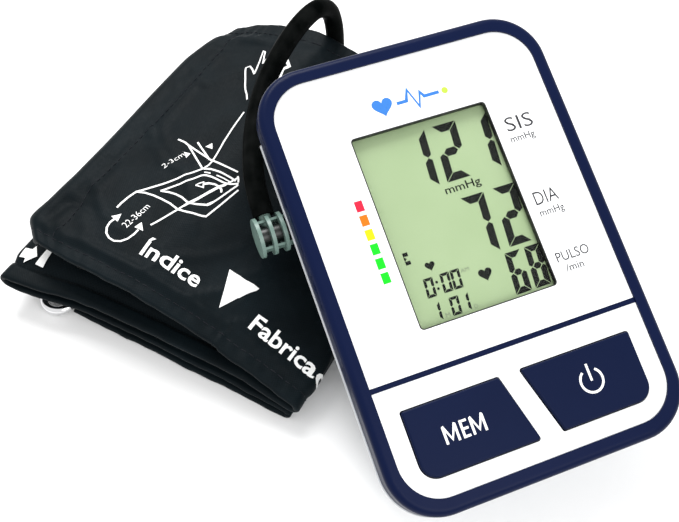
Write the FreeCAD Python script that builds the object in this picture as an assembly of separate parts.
"""Upper-arm blood pressure monitor with its folded arm cuff and air hose.

Millimetres, +Z up. The cuff lies folded on the table with its front edge along X
and its width along Y. The monitor leans on the cuff's right-hand fold.
The monitor's pieces are drawn in its own axes (x right, y up the face, z out of
the face, zero at the middle of the front panel) and then placed as a group.
"""
import FreeCAD, Part
import math
import os

V = FreeCAD.Vector

# ---------------------------------------------------------------- driving sizes
# where the pieces stand, measured from the near right corner of the folded cuff
ORIGIN_X = -1.255           # the part's origin, seen from that corner
ORIGIN_Y = 57.073
UNIT_CENTRE = (34.9, 56.0, 52.5)
UNIT_TILT = 23.2            # the face leans back from level by this angle
UNIT_YAW = 49.5             # the monitor is turned by this angle about +Z

# monitor body
WIDTH = 100.0
HEIGHT = 146.0
CORNER = 17.0
RIM_TOP = 0.7               # the rim stands this far above the panel
RIM_BOTTOM = -7.0
BACK = -30.0
BACK_INSET = 9.0            # the rear shell narrows by this much on each side
WALL = 2.0
LIP_OUT = 0.35              # the rear shell's pale lip shows past the bezel by this much
LIP_TALL = 1.3
LIP_END = 54.0              # the lip stops here, short of the upper corners
PANEL_X = 45.3
PANEL_Y = 67.8
PANEL_CORNER = 13.0
PANEL_THICK = 2.0
DIVIDER_Y = -31.4
DIVIDER_WIDE = 1.6
LCD_LEFT, LCD_RIGHT = -23.9, 23.3
LCD_LOW, LCD_HIGH = -19.05, 45.4

# buttons
KEY_TOP, KEY_LOW = -39.9, -61.5
MEM_LEFT = -38.8
MEM_SLANT = (-6.5, -0.6)    # right-hand side at the top and at the bottom
POWER_SLANT = (0.9, 7.4)    # left-hand side at the top and at the bottom
POWER_RIGHT = 38.7
KEY_CORNER = 5.3
KEY_GAP = 0.35
KEY_PROUD = 1.2
KEY_TRAVEL = 1.0

# inside the monitor
BOARD_TOP = -8.0
BOARD_THICK = 1.6
CELL_RADIUS = 7.25
CELL_LENGTH = 49.2
CELL_PITCH = 14.8
CELL_Y = 3.8                # the first cell's axis
CELL_Z = -20.4
PUMP_Y = -30.0
PUMP_Z = -19.6
VALVE_X = 27.0
TEE_X = 14.0                # the tee between the pump and the valve
TRAY_X = 29.9               # outside of the battery tray
TRAY_LOW = CELL_Y - 9.4
TRAY_HIGH = CELL_Y + 3 * CELL_PITCH + 9.4
TRAY_WALL = 1.4
CONTACT_THICK = 0.5         # the metal plates at the cells' ends
LEAF_FOOT = 4.0             # half the width of a bowed leaf contact
LEAF_THICK = 0.35
COVER_THICK = 2.0
COVER_LOW = TRAY_LOW - 4
COVER_X = TRAY_X + 2.5
SLIDE_GAP = 0.15            # room around the battery cover
SCREW_SPOTS = [(-34, -54), (34, -54), (-36.4, 57), (36.4, 57)]
BOARD_SPOTS = [(-38, -26), (38, -26), (-38, 52), (38, 52)]

# air plug and hose
PORT_Y = 26.8
PORT_Z = -14.0
PLUG_END = -60.2
PLUG_RADIUS = 6.5
WEB_END = -48.6             # the grip's webs stop clear of the housing
HOSE_RADIUS = 3.5
HOSE_LINE = -55.5           # the hose's axis, seen across the monitor
ELBOW_RADIUS = 4.6          # the rubber elbow at the cuff
ELBOW_FOOT = 13.1           # its lowest point

# folded cuff
CUFF_WIDE = 128.0
BAND_HALF = 2.0             # half the thickness of the band
CLOTH = 0.6                 # thickness of the outer cloth and of the lining
HEM = 5.0                   # the bladder stops this far from each edge
RING_WIRE = 1.7
RING_BAR = (-92.3, 2.9)     # the ring's sewn side: across, up
RING_REACH = 10.6           # from the sewn side to the free side
RING_OVER = 4.9             # the ring stands this far past the cuff's near edge
RING_FAR = 3.1              # and this far past its far edge

# the band's middle line at the front edge and at the far edge: across, up
FRONT_FOLDS = [(-88, 2.0), (-14, 2.0), (-14, 6.8), (-111.8, 10.8), (-111.8, 15.4), (-18, 12.6),
               (1.8, 3.2), (1.8, 11.2), (-30, 21.4), (-60, 28.4), (-105, 30.2), (-105, 23.8), (-84, 24.0)]
FAR_FOLDS = [(-88, 2.0), (-14, 2.0), (-14, 6.8), (-111.8, 10.8), (-111.8, 15.4), (-18, 12.6),
             (1.8, 3.2), (1.8, 15.0), (-28, 37.0), (-60, 44.3), (-102, 33.5), (-102, 27.0), (-82, 32.4)]
FOLD_RADII = [2.2, 2.2, 2.2, 2.2, 12, 2.6, 4.4, 25, 25, 2.7, 2.7]

# the hose's middle line, from the plug to the bladder's port
HOSE_ROUTE = [(-28.68, 37.32, 52.79), (-35.32, 42.99, 56.53), (-44.0, 55.8, 55.6), (-52.4, 71.0, 54.0),
              (-57.6, 87.0, 56.0), (-58.3, 102.0, 60.5), (-57.3, 112.9, 63.6), (-56.0, 122.6, 63.6),
              (-55.2, 130.4, 57.7), (-54.9, 133.6, 47.6), (-54.9, 134.4, 37.0), (-54.9, 134.4, 27.0)]


# ---------------------------------------------------------------- small helpers
def rounded_plate(left, low, right, high, corner, bottom, top):
    """A plate with rounded corners between two heights."""
    box = Part.makeBox(right - left, high - low, top - bottom, V(left, low, bottom))
    upright = [e for e in box.Edges if abs(e.tangentAt(e.FirstParameter).z) > 0.9]
    return box.makeFillet(corner, upright)


def box(left, low, bottom, right, high, top):
    return Part.makeBox(right - left, high - low, top - bottom, V(left, low, bottom))


def rod(radius, start, end):
    start, end = V(*start), V(*end)
    return Part.makeCylinder(radius, (end - start).Length, start, end - start)


def rounded_outline(points, radii):
    """Edges of an open path: straight runs with a tangent arc at each inner point."""
    points = [V(*p) for p in points]
    edges, start = [], points[0]
    for before, corner, after, radius in zip(points, points[1:], points[2:], radii):
        back = (before - corner).normalize()
        ahead = (after - corner).normalize()
        half = back.getAngle(ahead) / 2
        reach = radius / math.tan(half)
        middle = corner + (back + ahead).normalize() * (radius / math.sin(half) - radius)
        leave, rejoin = corner + back * reach, corner + ahead * reach
        edges.append(Part.LineSegment(start, leave).toShape())
        edges.append(Part.Arc(leave, middle, rejoin).toShape())
        start = rejoin
    edges.append(Part.LineSegment(start, points[-1]).toShape())
    return edges


def filleted(shape, radius, wanted):
    return shape.makeFillet(radius, [e for e in shape.Edges if wanted(e)])


def lies_at(height):
    return lambda edge: abs(edge.BoundBox.ZMin - height) < 1e-3 and abs(edge.BoundBox.ZMax - height) < 1e-3


def placed_unit(shape):
    """Move a piece from the monitor's own axes to where it stands."""
    shape = shape.copy()
    shape.rotate(V(0, 0, 0), V(1, 0, 0), UNIT_TILT)
    shape.rotate(V(0, 0, 0), V(0, 0, 1), UNIT_YAW)
    shape.translate(V(*UNIT_CENTRE))
    return shape


# ---------------------------------------------------------------- monitor casing
def key_outline(grow, mem):
    """Corner points of a button, grown outwards by a small amount."""
    if mem:
        top, low = MEM_SLANT
        return [(MEM_LEFT - grow, KEY_LOW - grow), (low + grow, KEY_LOW - grow),
                (top + grow, KEY_TOP + grow), (MEM_LEFT - grow, KEY_TOP + grow)]
    top, low = POWER_SLANT
    return [(low - grow, KEY_LOW - grow), (POWER_RIGHT + grow, KEY_LOW - grow),
            (POWER_RIGHT + grow, KEY_TOP + grow), (top - grow, KEY_TOP + grow)]


def key_block(grow, mem, bottom, top):
    """A button-shaped block; the outer lower corner has the large radius."""
    corners = [V(x, y, bottom) for x, y in key_outline(grow, mem)]
    block = Part.Face(Part.makePolygon(corners + corners[:1])).extrude(V(0, 0, top - bottom))
    outer = MEM_LEFT - grow if mem else POWER_RIGHT + grow
    upright = [e for e in block.Edges if e.BoundBox.ZLength > (top - bottom) / 2]
    big = [e for e in upright if abs(e.CenterOfMass.x - outer) < 0.01 and e.CenterOfMass.y < KEY_LOW + 1]
    small = [e for e in upright if not any(e.isSame(b) for b in big)]
    block = block.makeFillet(KEY_CORNER + grow, big)
    upright = [e for e in block.Edges if e.BoundBox.ZLength > (top - bottom) / 2]
    sharp = [e for e in upright if any((e.CenterOfMass - s.CenterOfMass).Length < 0.01 for s in small)]
    return block.makeFillet(0.9, sharp)


def front_bezel():
    half_x, half_y = WIDTH / 2, HEIGHT / 2
    rim = rounded_plate(-half_x, -half_y, half_x, half_y, CORNER, RIM_BOTTOM, RIM_TOP)
    rim = filleted(rim, 2.4, lies_at(RIM_TOP))
    rim = rim.cut(rounded_plate(-PANEL_X, -PANEL_Y, PANEL_X, PANEL_Y, PANEL_CORNER, -PANEL_THICK, 2))
    ledge_x, ledge_y = PANEL_X - 2.6, PANEL_Y - 2.6
    rim = rim.cut(rounded_plate(-ledge_x, -ledge_y, ledge_x, ledge_y, 10, RIM_BOTTOM - 1, 1))
    low = DIVIDER_Y - DIVIDER_WIDE / 2
    bar = box(-PANEL_X - 0.5, low, -4.0, PANEL_X + 0.5, low + DIVIDER_WIDE, 0.15)
    return rim.fuse(bar).removeSplitter()


def panel_half(low, high):
    """The white panel between two heights on the face, a hair inside the rim."""
    gap = 0.05
    whole = rounded_plate(-PANEL_X + gap, -PANEL_Y + gap, PANEL_X - gap, PANEL_Y - gap,
                          PANEL_CORNER - gap, -PANEL_THICK, 0)
    return whole.common(box(-WIDTH, low, -9, WIDTH, high, 9))


def display_panel():
    plate = panel_half(DIVIDER_Y + DIVIDER_WIDE / 2 + 0.05, HEIGHT)
    return plate.cut(rounded_plate(LCD_LEFT, LCD_LOW, LCD_RIGHT, LCD_HIGH, 1.4, -9, 9))


def key_panel():
    plate = panel_half(-HEIGHT, DIVIDER_Y - DIVIDER_WIDE / 2 - 0.05)
    for mem in (True, False):
        plate = plate.cut(key_block(KEY_GAP, mem, -9, 9))
    return plate


def key_cap(mem):
    cap = key_block(0, mem, -4.6, KEY_PROUD)
    cap = filleted(cap, 0.7, lies_at(KEY_PROUD))
    flange = key_block(1.2, mem, -4.2, -PANEL_THICK - 0.1)
    middle = cap.BoundBox.Center
    post = rod(3.0, (middle.x, middle.y, -5.4), (middle.x, middle.y, -4.0))
    return cap.fuse([flange, post]).removeSplitter()


def shell_block(shrink, bottom, top):
    """The rear shell's outside, or its inside when shrunk by the wall."""
    sections = []
    for height in (top, bottom):
        share = (RIM_BOTTOM - height) / (RIM_BOTTOM - BACK)
        inset = 0.8 + (BACK_INSET - 0.8) * share + shrink
        corner = CORNER - 1 - 6 * share - shrink * 0.5
        half_x, half_y = WIDTH / 2 - inset, HEIGHT / 2 - inset
        slab = rounded_plate(-half_x, -half_y, half_x, half_y, corner, height - 1, height)
        face = [f for f in slab.Faces if abs(f.CenterOfMass.z - height) < 1e-6][0]
        sections.append(face.OuterWire)
    return Part.makeLoft(sections, True, True)


def rear_housing():
    outside = shell_block(0, BACK, RIM_BOTTOM)
    outside = filleted(outside, 2.5, lies_at(BACK))
    side, end = WIDTH / 2 + LIP_OUT, HEIGHT / 2
    lip = rounded_plate(-side, -end, side, end, CORNER, RIM_BOTTOM - LIP_TALL, RIM_BOTTOM)
    lip = lip.common(box(-WIDTH, -HEIGHT, BACK, WIDTH, LIP_END, 0))
    hollow = shell_block(WALL, BACK + WALL, RIM_BOTTOM + 0.5)
    shell = outside.fuse(lip).cut(hollow)
    tray_top = CELL_Z + CELL_RADIUS + 0.4
    tray = box(-TRAY_X, TRAY_LOW, BACK + WALL - 0.5, TRAY_X, TRAY_HIGH, tray_top + TRAY_WALL)
    bosses = [rod(3.2, (x, y, BACK + 1), (x, y, -10.2)) for x, y in SCREW_SPOTS]
    cradle = [box(x, PUMP_Y - 11.5, BACK + 1, x + 1.6, PUMP_Y + 11.5, PUMP_Z - 4) for x in (-36, -13.2)]
    shell = shell.fuse([tray] + bosses + cradle)
    cover_side = COVER_X + SLIDE_GAP
    cover_top = BACK + COVER_THICK + SLIDE_GAP
    shell = shell.cut(box(-cover_side, COVER_LOW - SLIDE_GAP, BACK - 1, cover_side, HEIGHT, cover_top))
    well_side = TRAY_X - TRAY_WALL
    well_low, well_high = TRAY_LOW + TRAY_WALL, TRAY_HIGH - TRAY_WALL
    shell = shell.cut(box(-well_side, well_low, BACK - 1, well_side, well_high, tray_top))
    for x, y in SCREW_SPOTS:
        shell = shell.cut(rod(1.25, (x, y, BACK - 1), (x, y, 0)))
        shell = shell.cut(rod(2.6, (x, y, BACK - 1), (x, y, BACK + 5)))
    shell = shell.cut(pump_motor_block(0.1))
    shell = shell.cut(rod(4.1, (-side - 1, PORT_Y, PORT_Z), (-35, PORT_Y, PORT_Z)))
    return shell


def battery_cover():
    outside = filleted(shell_block(0, BACK, RIM_BOTTOM), 2.5, lies_at(BACK))
    plate = outside.common(box(-COVER_X, COVER_LOW, BACK - 1, COVER_X, HEIGHT, BACK + COVER_THICK))
    for step in range(5):
        y = COVER_LOW + 5 + 2.4 * step
        plate = plate.cut(box(-9, y, BACK - 1, 9, y + 1.1, BACK + 0.5))
    return plate


# ---------------------------------------------------------------- display
def lcd_window():
    return rounded_plate(LCD_LEFT - 2.5, LCD_LOW - 2.5, LCD_RIGHT + 2.5, LCD_HIGH + 2.5, 1.5, -2.75, -2.05)


def lcd_glass():
    return box(LCD_LEFT - 1.6, LCD_LOW - 1.6, -5.2, LCD_RIGHT + 1.6, LCD_HIGH + 1.6, -2.85)


def lcd_holder():
    frame = box(LCD_LEFT - 4.6, LCD_LOW - 4.6, BOARD_TOP, LCD_RIGHT + 4.6, LCD_HIGH + 4.6, -2.85)
    frame = frame.cut(box(LCD_LEFT - 1.8, LCD_LOW - 1.8, -5.25, LCD_RIGHT + 1.8, LCD_HIGH + 1.8, 0))
    return frame.cut(box(LCD_LEFT - 0.2, LCD_LOW - 0.6, -9, LCD_RIGHT + 0.2, LCD_HIGH + 0.6, 0))


def zebra_strips():
    low = box(LCD_LEFT + 1, LCD_LOW - 0.5, BOARD_TOP, LCD_RIGHT - 1, LCD_LOW + 1.7, -5.2)
    high = box(LCD_LEFT + 1, LCD_HIGH - 1.7, BOARD_TOP, LCD_RIGHT - 1, LCD_HIGH + 0.5, -5.2)
    return Part.makeCompound([low, high])


# ---------------------------------------------------------------- electronics
def main_board():
    plate = rounded_plate(-41.5, -62, 41.5, 63, 9, BOARD_TOP - BOARD_THICK, BOARD_TOP)
    for x, y in SCREW_SPOTS:
        plate = plate.cut(rod(3.9, (x, y, -12), (x, y, 0)))
    for x, y in BOARD_SPOTS:
        plate = plate.cut(rod(1.1, (x, y, -12), (x, y, 0)))
    return plate


def screw(x, y, head_z, point_z, shank, head):
    """A pan-head screw along z: the head is at head_z and the point at point_z."""
    way = 1 if point_z > head_z else -1
    body = rod(shank, (x, y, head_z), (x, y, point_z))
    cap = rod(head, (x, y, head_z), (x, y, head_z + way * 1.5))
    slot_low, slot_high = sorted((head_z, head_z + way * 0.6))
    slot = box(x - head, y - 0.3, slot_low, x + head, y + 0.3, slot_high)
    return body.fuse(cap).cut(slot)


def housing_screws():
    return Part.makeCompound([screw(x, y, BACK + 3.4, -11.4, 1.2, 2.4) for x, y in SCREW_SPOTS])


def board_screws():
    head_z, point_z = BOARD_TOP + 1.55, BOARD_TOP - 3.5
    return Part.makeCompound([screw(x, y, head_z, point_z, 1.0, 1.9) for x, y in BOARD_SPOTS])


def board_parts():
    """The processor, two capacitors, a crystal, and the buzzer on the board's back."""
    under = BOARD_TOP - BOARD_THICK
    chips = [box(-6, -50, under - 1.4, 8, -40, under),
             box(12, -56, under - 1.1, 18, -51, under),
             box(-26, -58, under - 1.8, -16, -54, under)]
    cans = [rod(2.5, (x, y, under), (x, y, under - 6)) for x, y in ((14, -44), (-14, -46))]
    buzzer = rod(5.5, (-24, -46, under), (-24, -46, under - 4))
    return Part.makeCompound(chips + cans + [buzzer])


def button_pad():
    """The rubber sheet under the buttons with one dome for each."""
    sheet = box(-38, -62, BOARD_TOP, 38, -38.5, BOARD_TOP + 0.8)
    domes = []
    for mem in (True, False):
        middle = key_block(0, mem, 0, 1).BoundBox.Center
        domes.append(Part.makeCone(4.2, 2.6, 0.7, V(middle.x, middle.y, BOARD_TOP + 0.8)))
    return sheet.fuse(domes)


# ---------------------------------------------------------------- batteries
def cell_rows():
    return [(CELL_Y + CELL_PITCH * row, 1 if row % 2 else -1) for row in range(4)]


def batteries():
    cells = []
    for y, way in cell_rows():
        half = CELL_LENGTH / 2
        can = rod(CELL_RADIUS, (-half, y, CELL_Z), (half, y, CELL_Z))
        nub = rod(2.7, (way * half, y, CELL_Z), (way * (half + 1.3), y, CELL_Z))
        cells.append(can.fuse(nub))
    return Part.makeCompound(cells)


def battery_plates():
    """Four flat contacts at the cells' positive ends and four spring seats."""
    outside = TRAY_X - TRAY_WALL
    seat = outside - CONTACT_THICK
    plates = []
    for y, way in cell_rows():
        plates.append(box(seat, y - 5, CELL_Z - 5, outside, y + 5, CELL_Z + 5))
        plates.append(box(-outside, y - 5, CELL_Z - 5, -seat, y + 5, CELL_Z + 5))
    return Part.makeCompound(plates)


def contact_springs():
    """A bowed leaf of spring steel against the flat end of each cell."""
    springs = []
    seat = TRAY_X - TRAY_WALL - CONTACT_THICK
    rise = seat - CELL_LENGTH / 2 - 0.1
    bow = (LEAF_FOOT ** 2 + rise ** 2) / (2 * rise)
    for y, way in cell_rows():
        x = -way * (seat + bow - rise)
        hoop = rod(bow, (x, y, CELL_Z - 2.2), (x, y, CELL_Z + 2.2))
        hoop = hoop.cut(rod(bow - LEAF_THICK, (x, y, CELL_Z - 3), (x, y, CELL_Z + 3)))
        left, right = sorted((-way * seat, -way * (seat - 8)))
        springs.append(hoop.common(box(left, y - 9, CELL_Z - 3, right, y + 9, CELL_Z + 3)))
    return Part.makeCompound(springs)


# ---------------------------------------------------------------- pump and valve
def pump_motor_block(grow):
    """The flat-sided motor can, whose axis lies along x."""
    can = rod(10 + grow, (-36.5 - grow, PUMP_Y, PUMP_Z), (-11 + grow, PUMP_Y, PUMP_Z))
    return can.common(box(-60, PUMP_Y - 20, PUMP_Z - 7.6 - grow, 60, PUMP_Y + 20, PUMP_Z + 7.6 + grow))


def pump_motor():
    can = pump_motor_block(0)
    can = can.cut(rod(6.4, (-35, PUMP_Y, PUMP_Z), (-12.5, PUMP_Y, PUMP_Z)))
    return can.cut(rod(1.05, (-36, PUMP_Y, PUMP_Z), (0, PUMP_Y, PUMP_Z)))


def pump_rotor():
    shaft = rod(1.0, (-35.5, PUMP_Y, PUMP_Z), (-2.5, PUMP_Y, PUMP_Z))
    armature = rod(5.9, (-33, PUMP_Y, PUMP_Z), (-15, PUMP_Y, PUMP_Z))
    wheel = rod(3.2, (-8, PUMP_Y + 1.0, PUMP_Z), (-4, PUMP_Y + 1.0, PUMP_Z))
    return shaft.fuse([armature, wheel])


def pump_head():
    head = rounded_plate(-10.95, PUMP_Y - 8, 4, PUMP_Y + 8, 2, PUMP_Z - 7.6, PUMP_Z + 7.6)
    head = head.cut(rod(6, (-9.5, PUMP_Y, PUMP_Z), (-1, PUMP_Y, PUMP_Z)))
    return head.cut(rod(1.05, (-12, PUMP_Y, PUMP_Z), (0, PUMP_Y, PUMP_Z)))


def pump_cap():
    cap = rod(6.6, (4, PUMP_Y, PUMP_Z), (8, PUMP_Y, PUMP_Z))
    nipple = rod(1.9, (8, PUMP_Y, PUMP_Z), (13, PUMP_Y, PUMP_Z))
    return cap.fuse(nipple)


def valve_body():
    block = box(VALVE_X - 7, PUMP_Y - 9, PUMP_Z - 6, VALVE_X + 7, PUMP_Y + 9, PUMP_Z + 6)
    block = block.cut(rod(2.05, (VALVE_X, PUMP_Y - 10, PUMP_Z), (VALVE_X, PUMP_Y + 4, PUMP_Z)))
    return block.fuse(rod(1.9, (VALVE_X - 12, PUMP_Y, PUMP_Z), (VALVE_X - 7, PUMP_Y, PUMP_Z)))


def valve_plunger():
    stem = rod(2.0, (VALVE_X, PUMP_Y - 11.5, PUMP_Z), (VALVE_X, PUMP_Y + 2.5, PUMP_Z))
    return stem.fuse(rod(3.4, (VALVE_X, PUMP_Y - 12.7, PUMP_Z), (VALVE_X, PUMP_Y - 11.5, PUMP_Z)))


def pressure_sensor():
    under = BOARD_TOP - BOARD_THICK
    case = box(-39, 2, under - 3.4, -31, 12, under)
    return case.fuse(rod(1.5, (-35, 7, under - 3.4), (-35, 7, under - 5.4)))


# ---------------------------------------------------------------- air path inside the monitor
def air_tee():
    """The block that joins the pump, the valve and the line to the socket."""
    block = box(TEE_X - 1, PUMP_Y - 3, PUMP_Z - 3.2, TEE_X + 1, PUMP_Y + 3, PUMP_Z + 3.2)
    return block.fuse(rod(1.9, (TEE_X, PUMP_Y + 3, PUMP_Z), (TEE_X, PUMP_Y + 7, PUMP_Z)))


def tube_along(points, radius):
    """A tube of straight runs and arcs, each arc as large as its two runs allow."""
    spots = [V(*p) for p in points]
    radii = []
    for before, corner, after in zip(spots, spots[1:], spots[2:]):
        turn = (corner - before).getAngle(after - corner)
        short = min((corner - before).Length, (after - corner).Length)
        radii.append(0.45 * short / math.tan(turn / 2))
    path = Part.Wire(rounded_outline(points, radii))
    ring = Part.Wire(Part.Circle(spots[0], spots[1] - spots[0], radius).toShape())
    tube = path.makePipeShell([ring], True, True)
    return tube, path, radii


def inner_air_line():
    """The silicone tube from the tee to the air socket, beside the batteries."""
    route = [(TEE_X, PUMP_Y + 7, PUMP_Z), (TEE_X, PUMP_Y + 13.5, PUMP_Z),
             (TEE_X - 8, PUMP_Y + 19.6, PUMP_Z + 1), (-6, PUMP_Y + 20, PUMP_Z + 2),
             (-19, PUMP_Y + 19.5, PUMP_Z + 2), (-31, PUMP_Y + 20.5, PUMP_Z + 3),
             (-37.5, PUMP_Y + 29, PUMP_Z + 4.5), (-38, PORT_Y - 16, PORT_Z), (-38, PORT_Y - 8, PORT_Z)]
    return tube_along(route, 2.2)[0]


def air_socket():
    """The bush in the left wall that the plug's nose goes into."""
    bush = rod(4.0, (-45.6, PORT_Y, PORT_Z), (-34, PORT_Y, PORT_Z))
    collar = rod(4.9, (-42.4, PORT_Y, PORT_Z), (-40.8, PORT_Y, PORT_Z))
    barb = rod(1.9, (-38, PORT_Y - 8, PORT_Z), (-38, PORT_Y, PORT_Z))
    bush = bush.fuse([collar.common(box(-50, 0, -30, 0, 60, BOARD_TOP - BOARD_THICK - 0.1)), barb])
    return bush.cut(rod(2.6, (-50, PORT_Y, PORT_Z), (-35.2, PORT_Y, PORT_Z)))


def air_plug():
    """The ribbed grip, its nose in the socket, and the collar that holds the hose."""
    nose = rod(2.5, (-48, PORT_Y, PORT_Z), (-36, PORT_Y, PORT_Z))
    core = rod(2.9, (PLUG_END, PORT_Y, PORT_Z), (-46.6, PORT_Y, PORT_Z))
    ribs = [rod(PLUG_RADIUS, (PLUG_END + step, PORT_Y, PORT_Z), (PLUG_END + step + 1.2, PORT_Y, PORT_Z))
            for step in (0, 4.0, 8.0)]
    webs = [box(PLUG_END, PORT_Y + side - 0.4, PORT_Z - 1.5, WEB_END, PORT_Y + side + 0.4, PORT_Z + 2.2)
            for side in (-4.4, 4.4)]
    stub = rod(2.0, (HOSE_LINE, PORT_Y, PORT_Z), (HOSE_LINE, PORT_Y + PLUG_RADIUS + 0.1, PORT_Z))
    return core.fuse([nose, stub] + ribs + webs)


def rubber_feet():
    spots = [(-30, -50), (30, -50), (-37.5, 46), (37.5, 46)]
    return Part.makeCompound([filleted(rod(4, (x, y, BACK - 1.2), (x, y, BACK)), 0.5, lies_at(BACK - 1.2))
                              for x, y in spots])


# ---------------------------------------------------------------- folded cuff
def offset_path(points, shift):
    """Move an open path sideways, to the left of its direction."""
    moved = []
    for index, point in enumerate(points):
        here = FreeCAD.Vector(point[0], point[1], 0)
        sides = []
        for a, b in ((index - 1, index), (index, index + 1)):
            if 0 <= a and b < len(points):
                way = V(points[b][0] - points[a][0], points[b][1] - points[a][1], 0).normalize()
                sides.append(V(-way.y, way.x, 0))
        normal = (sides[0] + sides[-1]).normalize()
        here = here + normal * (shift / normal.dot(sides[0]))
        moved.append((here.x, here.y))
    return moved


def turn_sign(points, index):
    before, corner, after = [V(x, z, 0) for x, z in points[index - 1:index + 2]]
    return 1 if (corner - before).cross(after - corner).z > 0 else -1


def band_wire(points, inner, outer, y):
    """The closed outline of a band that follows a path, at one place along the width."""
    sides = []
    for shift in (inner, outer):
        moved = offset_path(points, shift)
        radii = [radius - turn_sign(points, index + 1) * shift for index, radius in enumerate(FOLD_RADII)]
        edges = rounded_outline([(x, y, z) for x, z in moved], radii)
        sides.append((edges, V(moved[0][0], y, moved[0][1]), V(moved[-1][0], y, moved[-1][1])))
    (first, start_a, end_a), (second, start_b, end_b) = sides
    caps = [Part.LineSegment(end_a, end_b).toShape(), Part.LineSegment(start_b, start_a).toShape()]
    return Part.Wire(Part.__sortEdges__(first + [caps[0]] + second[::-1] + [caps[1]]))


def folds_at(share):
    return [(a[0] + (b[0] - a[0]) * share, a[1] + (b[1] - a[1]) * share)
            for a, b in zip(FRONT_FOLDS, FAR_FOLDS)]


def band(inner, outer, near, far):
    """One layer of the cuff along the whole folded band."""
    wires = [band_wire(folds_at(y / CUFF_WIDE), inner, outer, y) for y in (near, far)]
    return Part.makeLoft(wires, True, True)


def cuff_outer_cloth():
    return band(-BAND_HALF, -BAND_HALF + CLOTH, 0, CUFF_WIDE)


def cuff_lining():
    return band(BAND_HALF - CLOTH, BAND_HALF, 0, CUFF_WIDE)


def air_bladder():
    core = band(-BAND_HALF + CLOTH, BAND_HALF - CLOTH, 0, CUFF_WIDE)
    return core.common(box(-CUFF_WIDE, HEM, 0, CUFF_WIDE, CUFF_WIDE - HEM, CUFF_WIDE))


def hook_tape():
    """The hook strip sewn on at the cuff's free end."""
    sheets = []
    for y, folds in ((HEM, folds_at(HEM / CUFF_WIDE)), (CUFF_WIDE - HEM, folds_at(1 - HEM / CUFF_WIDE))):
        x, z = folds[-1]
        slope = (folds[-1][1] - folds[-2][1]) / (folds[-1][0] - folds[-2][0])
        corners = [V(x + run, y, z + slope * run + rise)
                   for run, rise in ((0.6, -0.8), (18, -0.8), (18, 0.6), (0.6, 0.6))]
        sheets.append(Part.makePolygon(corners + corners[:1]))
    return Part.makeLoft(sheets, True, True)


def loop_tape():
    """The soft loop patch on the layer below the sleeve's opening."""
    sheets = []
    for y in (HEM + 3, CUFF_WIDE - HEM - 3):
        a, b = folds_at(y / CUFF_WIDE)[4:6]
        corners = []
        for x, rise in ((-92, 2.05), (-24, 2.05), (-24, 2.9), (-92, 2.9)):
            z = a[1] + (b[1] - a[1]) * (x - a[0]) / (b[0] - a[0])
            corners.append(V(x, y, z + rise))
        sheets.append(Part.makePolygon(corners + corners[:1]))
    return Part.makeLoft(sheets, True, True)


def d_ring():
    """The long metal ring: two straight sides joined by round ends."""
    bar_x, z = RING_BAR
    free_x = bar_x - RING_REACH
    end = RING_REACH / 2 + RING_WIRE
    near, far = end - RING_OVER, CUFF_WIDE + RING_FAR - end
    middle_x = (bar_x + free_x) / 2
    turn = RING_REACH / 2
    edges = [Part.LineSegment(V(bar_x, near, z), V(bar_x, far, z)).toShape(),
             Part.Arc(V(bar_x, far, z), V(middle_x, far + turn, z), V(free_x, far, z)).toShape(),
             Part.LineSegment(V(free_x, far, z), V(free_x, near, z)).toShape(),
             Part.Arc(V(free_x, near, z), V(middle_x, near - turn, z), V(bar_x, near, z)).toShape()]
    section = Part.Wire(Part.Circle(V(bar_x, near, z), V(0, 1, 0), RING_WIRE).toShape())
    return Part.Wire(edges).makePipeShell([section], True, True)


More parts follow.
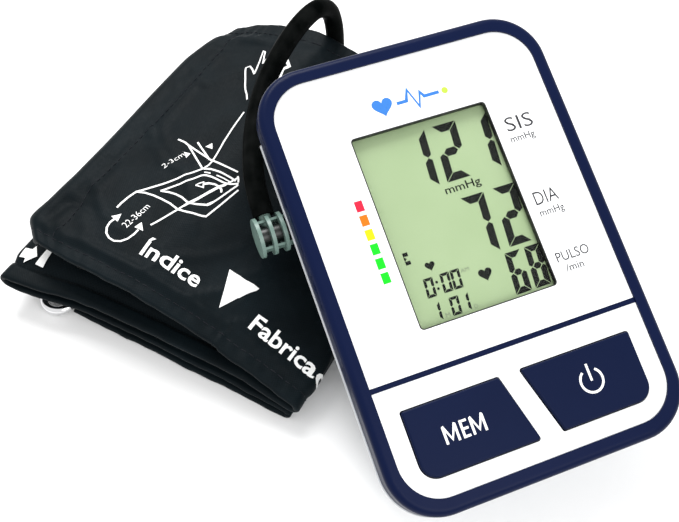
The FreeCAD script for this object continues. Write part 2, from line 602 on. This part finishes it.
def ring_loop():
    """The cloth loop that holds the ring's sewn side and ends in the lowest layer."""
    bar_x, z = RING_BAR
    near, far = 8.0, CUFF_WIDE - 8.0
    outer = rod(RING_WIRE + 0.85, (bar_x, near, z), (bar_x, far, z))
    tail = box(bar_x, near, z - RING_WIRE - 0.85, FRONT_FOLDS[0][0] - 0.05, far, z - RING_WIRE + 1.6)
    return outer.fuse(tail).cut(rod(RING_WIRE + 0.06, (bar_x, near - 1, z), (bar_x, far + 1, z)))


def bladder_port():
    """The rubber elbow between the hose and the bladder at the cuff's far edge."""
    x, y, z = HOSE_ROUTE[-1]
    upright = rod(ELBOW_RADIUS, (x, y, ELBOW_FOOT), (x, y, z))
    line = ELBOW_FOOT + 4.0
    inward = rod(4.0, (x, y, line), (x, CUFF_WIDE + 0.1, line))
    return upright.fuse(inward)


def air_hose():
    tube, path, radii = tube_along(HOSE_ROUTE, HOSE_RADIUS)
    expected = math.pi * HOSE_RADIUS ** 2 * path.Length
    print("hose length %.1f  radii %s" % (path.Length, [round(r, 1) for r in radii]))
    print("hose volume %.0f of %.0f expected" % (tube.Volume, expected))
    return tube


# ---------------------------------------------------------------- build
UNIT_PIECES = [front_bezel, display_panel, key_panel, rear_housing, battery_cover, lcd_window, lcd_glass,
               lcd_holder, zebra_strips, main_board, housing_screws, board_screws, board_parts, button_pad,
               batteries, battery_plates, contact_springs, pump_motor, pump_rotor, pump_head, pump_cap,
               valve_body, valve_plunger, pressure_sensor, air_tee, inner_air_line, air_socket, air_plug,
               rubber_feet]
CUFF_PIECES = [cuff_outer_cloth, cuff_lining, air_bladder, hook_tape, loop_tape, d_ring, ring_loop,
               bladder_port, air_hose]
CORD_NAMES = ["air_hose", "air_plug", "bladder_port"]


def build():
    pieces = {maker.__name__: placed_unit(maker()) for maker in UNIT_PIECES}
    pieces["mem_button"] = placed_unit(key_cap(True))
    pieces["power_button"] = placed_unit(key_cap(False))
    for maker in CUFF_PIECES:
        pieces[maker.__name__] = maker()
    os.makedirs("parts", exist_ok=True)
    bounds = FreeCAD.BoundBox()
    for name, shape in pieces.items():
        shape.translate(V(-ORIGIN_X, -ORIGIN_Y, 0))
        if name not in CORD_NAMES:
            bounds.add(shape.BoundBox)
        if not shape.isValid() or not shape.Solids:
            print("CHECK", name, shape.isValid(), len(shape.Solids))
        shape.exportStep("parts/%s.step" % name)
    print("object without the cord:", bounds)


build()
